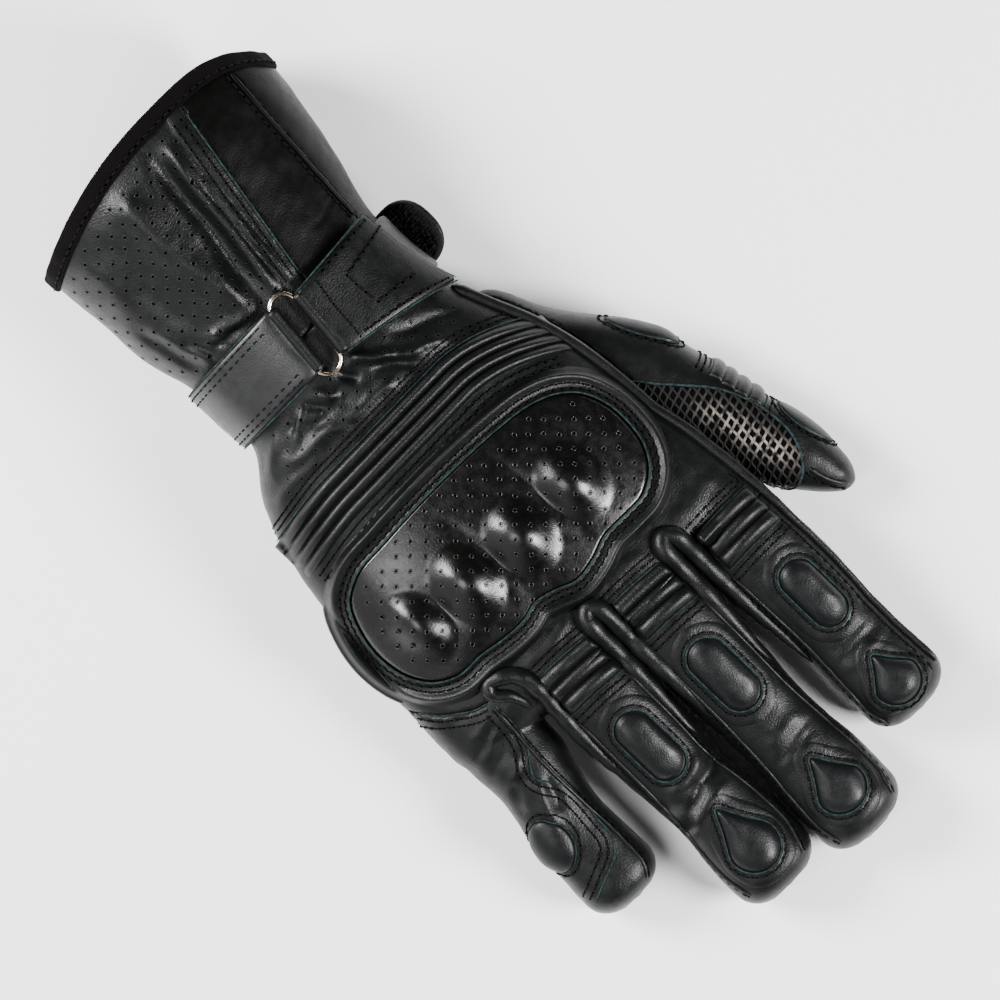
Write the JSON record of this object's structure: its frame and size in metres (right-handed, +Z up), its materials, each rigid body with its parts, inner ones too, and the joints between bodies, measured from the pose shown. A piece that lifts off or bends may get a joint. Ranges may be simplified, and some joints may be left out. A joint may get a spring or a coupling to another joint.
{
  "type": "motorcycle gauntlet",
  "caption": "Right-hand black leather motorcycle gauntlet with a padded knuckle guard, stretch ribs, a flared perforated cuff and a ring-and-strap wrist closure.",
  "frame": {"origin": "under the middle of the glove's bounding box, on the surface that it lies on", "axes": "+Z up out of the back of the hand, +Y towards the fingertips, -X the thumb's side"},
  "size_m": [0.1458, 0.2904, 0.0626],
  "materials": {
    "leather": "satin black grain leather",
    "perforated_leather": "satin black leather with small punched holes",
    "guard_leather": "smooth glossy black leather over a hard shell",
    "pad_leather": "smooth padded black leather",
    "binding_tape": "woven tape, black with a faint purple cast",
    "hook_and_loop": "fuzzy black loop pile",
    "mesh": "open knitted mesh over a pale backing",
    "nickel": "polished warm nickel wire"
  },
  "bodies": {
    "root": {"hand_back": "leather", "hand_palm": "leather", "index_stall": "leather", "middle_stall": "leather", "ring_stall": "leather", "little_stall": "leather", "thumb": "leather", "cuff_perforated_panel": "perforated_leather", "cuff_smooth_panel": "leather", "cuff_under_panel": "leather", "cuff_binding": "binding_tape", "knuckle_guard": "guard_leather", "guard_rim": "leather", "wrist_ribs": "leather", "index_ribs": "leather", "middle_ribs": "leather", "ring_ribs": "leather", "index_joint_pad": "pad_leather", "index_tip_pad": "pad_leather", "middle_joint_pad": "pad_leather", "middle_tip_pad": "pad_leather", "ring_joint_pad": "pad_leather", "ring_tip_pad": "pad_leather", "little_joint_pad": "pad_leather", "thumb_joint_pad": "pad_leather", "thumb_base_pad": "pad_leather", "index_middle_roll": "leather", "middle_ring_roll": "leather", "ring_little_roll": "leather", "thumb_side_piping": "leather", "thumb_mesh": "mesh", "thumb_ribs": "leather", "wrist_ring": "nickel", "pull_strap": "leather", "ring_strap": "leather", "strap_fuzzy_tab": "hook_and_loop"}
  },
  "joints": []
}
